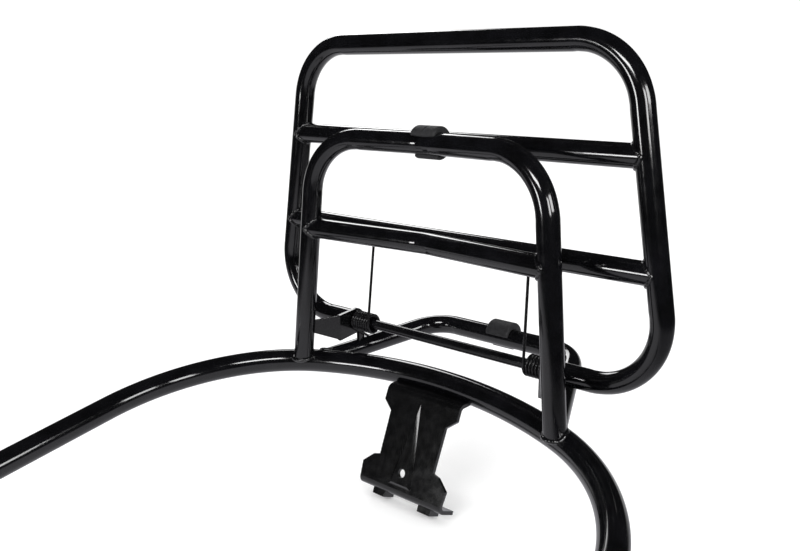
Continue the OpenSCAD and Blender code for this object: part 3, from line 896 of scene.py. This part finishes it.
def clip(name, node, centre, turn, seam_depth, nub):
    """A C-shaped snap-on bumper. Angles run from straight forward (-Y) over the top."""
    arc_start = MOUTH_TOP
    arc_end = 2 * math.pi + MOUTH_BOTTOM
    round_r = CLIP_ROUND
    half = CLIP_HALF

    def outer_radius(angle):
        d = vec(-math.cos(angle), math.sin(angle))
        along = d @ CLIP_SHIFT
        return along + math.sqrt(along ** 2 + CLIP_OUTER ** 2 - CLIP_SHIFT @ CLIP_SHIFT)

    def profile(inset, groove, lump):
        inner = TUBE_R + 0.04 * MM + inset * 0.45
        start = arc_start + inset / CLIP_OUTER
        end = arc_end - inset / CLIP_OUTER
        outline = []
        arc_steps = 46
        lip = 7
        for i in range(arc_steps + 1):
            a = start + (end - start) * i / arc_steps
            r = outer_radius(a) - inset
            top = math.exp(-((a - math.radians(78)) / 0.62) ** 4)
            r -= groove * top
            r += lump * math.exp(-((a - math.radians(92)) / 0.16) ** 2)
            taper_in = min(i, arc_steps - i) / 4
            if taper_in < 1:
                r -= 0.9 * MM * (1 - taper_in) ** 2
            outline.append((r, a))
        for end_angle, sign in ((end, 1), (start, -1)):
            outer = outline[-1][0] if sign > 0 else outline[0][0]
            for k in range(1, lip):
                t = k / lip
                share = t if sign > 0 else 1 - t
                r = outer + (inner - outer) * share
                bulge = 0.8 * MM * math.sqrt(max(0, 1 - (2 * share - 1) ** 2))
                outline.append((r, end_angle + sign * (bulge - 0.8 * MM) / CLIP_OUTER))
            if sign > 0:
                for i in range(arc_steps + 1):
                    a = end + (start - end) * i / arc_steps
                    outline.append((inner, a))
        return [(-r * math.cos(a), r * math.sin(a)) for r, a in outline]

    # Each station along the clip: its place, inset, seam groove and moulding lump
    stations = []
    for k in range(7):
        turned_by = math.pi / 2 * k / 6
        stations.append((-half + round_r * (1 - math.cos(turned_by)),
                         round_r * (1 - math.sin(turned_by)), 0, 0))
    xs = list(np.linspace(-half + round_r + 0.8 * MM, half - round_r - 0.8 * MM, 15))
    xs += [k * 0.28 * MM for k in range(-5, 6)]
    for x in sorted(set(round(x, 7) for x in xs)):
        groove = seam_depth * math.exp(-(x / (0.42 * MM)) ** 2)
        lump = nub * math.exp(-((x + 1.0 * MM) / (1.1 * MM)) ** 4)
        stations.append((x, 0, groove, lump))
    for k in range(7):
        turned_by = math.pi / 2 * k / 6
        stations.append((half - round_r + round_r * math.sin(turned_by),
                         round_r * (1 - math.cos(turned_by)), 0, 0))
    rotate = Matrix.Rotation(turn, 3, "X")
    verts, sides = [], 0
    for x, inset, groove, lump in stations:
        points = profile(inset, groove, lump)
        sides = len(points)
        for y, z in points:
            verts.append(np.array(rotate @ Vector((x, y, z))) + centre)
    obj = mark_sharp(mesh_object(name, verts, capped_faces(len(stations), sides)), 55)
    finish(obj, "bumper_rubber", "bumper", FIXED, node)
    return obj


clip("upper_bumper_clip_rubber", "upper_bumper_clip", arch_middle - vec(0, 0.2 * MM, 0),
     0.0, 0.45 * MM, 0.0)
clip("lower_bumper_clip_rubber", "lower_bumper_clip", on_bow(0, LOOP_REAR_V),
     LOWER_CLIP_TURN, 0.0, 0.0)


# Small welds --------------------------------------------------------------------


def ring_seam(x, radius, normal_x):
    """A fillet around the rod where it passes through an ear."""
    angles = np.linspace(0, 2 * math.pi, 48, endpoint=False)
    path = np.stack([np.full(48, x), radius * np.cos(angles), radius * np.sin(angles)], 1)
    out = path - vec(x, 0, 0)
    return path, (out / radius + vec(normal_x, 0, 0)) * BEAD_LIFT


inner_face = EAR_X - SHEET / 2
weld("weld_hinge_rod", [
    ring_seam(inner_face, ROD_R, -1), ring_seam(-inner_face, ROD_R, 1),
], 0.8 * MM, FIXED)


# Stage, light and camera --------------------------------------------------------

scene = bpy.context.scene
floor_z = CAD_BOX[0].z - 0.5 * MM
# The floor glows a little, least where the rack's shadow falls and most far away
NEAR_LIFT, FAR_LIFT = 0.12, 0.25
# What glossy paint mirrors: the table top, the white sweep behind it and the dim room
TABLE_GLOW = 0.55
BACK_GLOW = 0.6
ROOM_GLOW = 0.012
# The world as the soft fill light, and how much brighter the camera sees it
FILL, CAMERA_EXTRA = 0.93, 0.12


def stage_plane(name, size, centre, visible_camera, visible_glossy):
    half = size / 2
    verts = [(-half, -half, 0), (half, -half, 0), (half, half, 0), (-half, half, 0)]
    obj = mesh_object(name, verts, [(0, 1, 2, 3)], False, (0, 0, 0))
    obj.location = centre
    obj.visible_camera = visible_camera
    obj.visible_glossy = visible_glossy
    return obj


def ramp_node(tree, source, start, end, low, high):
    """Eases from low to high as the source runs from start to end."""
    node = tree.nodes.new("ShaderNodeMapRange")
    node.interpolation_type = "SMOOTHSTEP"
    for name, value in zip(("From Min", "From Max", "To Min", "To Max"), (start, end, low, high)):
        node.inputs[name].default_value = value
    tree.links.new(source, node.inputs["Value"])
    return node.outputs[0]


tree, shader, coords = node_tree("paper_floor")
tree.links.new(two_tone(tree, noise(tree, coords, 40, 3), (0.93, 0.93, 0.93), (0.95, 0.95, 0.95)),
               shader.inputs["Base Color"])
shader.inputs["Roughness"].default_value = 0.9
shader.inputs["Specular IOR Level"].default_value = 0.1
shader.inputs["Emission Color"].default_value = (1, 1, 1, 1)
far = tree.nodes.new("ShaderNodeVectorMath")
far.operation = "LENGTH"
tree.links.new(coords.outputs["Object"], far.inputs[0])
tree.links.new(ramp_node(tree, far.outputs["Value"], 0.4, 1.5, NEAR_LIFT, FAR_LIFT),
               shader.inputs["Emission Strength"])
floor = stage_plane("floor", 80, (0, 0, floor_z), True, False)
floor.data.materials.append(MATERIALS["paper_floor"])


# What the paint mirrors instead: a pale table top that ends a little way round the rack
material = bpy.data.materials.new("table_glow")
material.use_nodes = True
tree = material.node_tree
tree.nodes.clear()
out = tree.nodes.new("ShaderNodeOutputMaterial")
glow = tree.nodes.new("ShaderNodeEmission")
clear = tree.nodes.new("ShaderNodeBsdfTransparent")
mix = tree.nodes.new("ShaderNodeMixShader")
coords = tree.nodes.new("ShaderNodeTexCoord")
length = tree.nodes.new("ShaderNodeVectorMath")
length.operation = "LENGTH"
tree.links.new(coords.outputs["Object"], length.inputs[0])
axes = tree.nodes.new("ShaderNodeSeparateXYZ")
tree.links.new(coords.outputs["Object"], axes.inputs[0])
glow.inputs["Color"].default_value = (0.96, 0.95, 1.0, 1)
tree.links.new(ramp_node(tree, axes.outputs["X"], 0.05, 0.4, TABLE_GLOW, 0.3 * TABLE_GLOW),
               glow.inputs["Strength"])
tree.links.new(ramp_node(tree, length.outputs["Value"], 0.55, 0.85, 1, 0), mix.inputs[0])
tree.links.new(clear.outputs[0], mix.inputs[1])
tree.links.new(glow.outputs[0], mix.inputs[2])
tree.links.new(mix.outputs[0], out.inputs[0])
table = stage_plane("table", 4, (HINGE.x, HINGE.y, floor_z - 0.5 * MM), False, True)
table.visible_diffuse = False
table.visible_shadow = False
table.data.materials.append(material)

world = bpy.data.worlds.new("studio")
scene.world = world
world.use_nodes = True
tree = world.node_tree
tree.nodes.clear()
out = tree.nodes.new("ShaderNodeOutputWorld")
paths = tree.nodes.new("ShaderNodeLightPath")
coords = tree.nodes.new("ShaderNodeTexCoord")


def math_node(operation, a, b):
    node = tree.nodes.new("ShaderNodeMath")
    node.operation = operation
    for i, value in enumerate((a, b)):
        if isinstance(value, (int, float)):
            node.inputs[i].default_value = value
        else:
            tree.links.new(value, node.inputs[i])
    return node.outputs[0]


def facing(direction, low, high):
    """How much a mirrored ray looks towards a direction, eased from 0 to 1."""
    dot = tree.nodes.new("ShaderNodeVectorMath")
    dot.operation = "DOT_PRODUCT"
    tree.links.new(coords.outputs["Generated"], dot.inputs[0])
    dot.inputs[1].default_value = unit(direction)
    return ramp_node(tree, dot.outputs["Value"], low, high, 0, 1)


# The white sweep behind the rack shows in the paint only from the floor up to the horizon
behind = math_node("MULTIPLY", facing((-0.62, 0.75, 0), 0.55, 0.85), facing((0, 0, -1), -0.12, 0.03))
mirror_level = math_node("ADD", math_node("MULTIPLY", behind, BACK_GLOW), ROOM_GLOW)
camera_or_fill = math_node("MULTIPLY", paths.outputs["Is Camera Ray"], CAMERA_EXTRA)
level = math_node("ADD", camera_or_fill, FILL)
glossy = paths.outputs["Is Glossy Ray"]
keep = math_node("SUBTRACT", 1.0, glossy)
total = math_node(
    "ADD", math_node("MULTIPLY", glossy, mirror_level), math_node("MULTIPLY", keep, level)
)
background = tree.nodes.new("ShaderNodeBackground")
background.inputs["Color"].default_value = (1, 1, 1, 1)
tree.links.new(total, background.inputs["Strength"])
tree.links.new(background.outputs[0], out.inputs[0])


def softbox(name, place, target, width, height, power):
    """A lamp in metres and watts; place and target are measured from the hinge."""
    light = bpy.data.lights.new(name, "AREA")
    light.shape = "RECTANGLE"
    light.size, light.size_y = width, height
    light.energy = power
    obj = bpy.data.objects.new(name, light)
    obj.location = Vector(place) + HINGE
    obj.rotation_euler = (Vector(target) - Vector(place)).to_track_quat("-Z", "Y").to_euler()
    scene.collection.objects.link(obj)
    return obj


softbox("softbox_front_left", (-0.53, -1.46, 0.14), (0.12, -0.02, 0.17), 0.28, 0.27, 3.5)
softbox("softbox_over_camera", (0.24, -1.31, 0.88), (-0.15, -0.06, -0.03), 0.62, 0.26, 8)
softbox("softbox_right", (1.45, -0.08, 0.65), (0, 0, 0.05), 0.56, 0.45, 7)
softbox("softbox_right_front", (1.29, -0.75, 0.54), (0, 0, 0.05), 0.36, 0.45, 5)
softbox("softbox_behind", (-1.35, 1.09, 1.0), (0, 0, 0.1), 0.6, 0.6, 5)

# Solved from the picture's viewing angle; turned from looking along +Y, down, and rolled
CAMERA_PLACE = Vector((0.3886, -0.4966, 0.2118))
yaw, pitch, roll = (math.radians(a) for a in (41.25, 14.05, 0.366))
camera_data = bpy.data.cameras.new("camera")
camera_data.lens = 38.3
camera_data.sensor_width = 36
camera_data.clip_start = 0.01
camera_data.clip_end = 200
camera = bpy.data.objects.new("camera", camera_data)
camera.matrix_world = (
    Matrix.Translation(CAMERA_PLACE + HINGE)
    @ Matrix.Rotation(yaw, 4, "Z")
    @ Matrix.Rotation(math.pi / 2 - pitch, 4, "X")
    @ Matrix.Rotation(-roll, 4, "Z")
)
scene.collection.objects.link(camera)
scene.camera = camera
scene.view_settings.view_transform = "Standard"
scene.view_settings.look = "None"
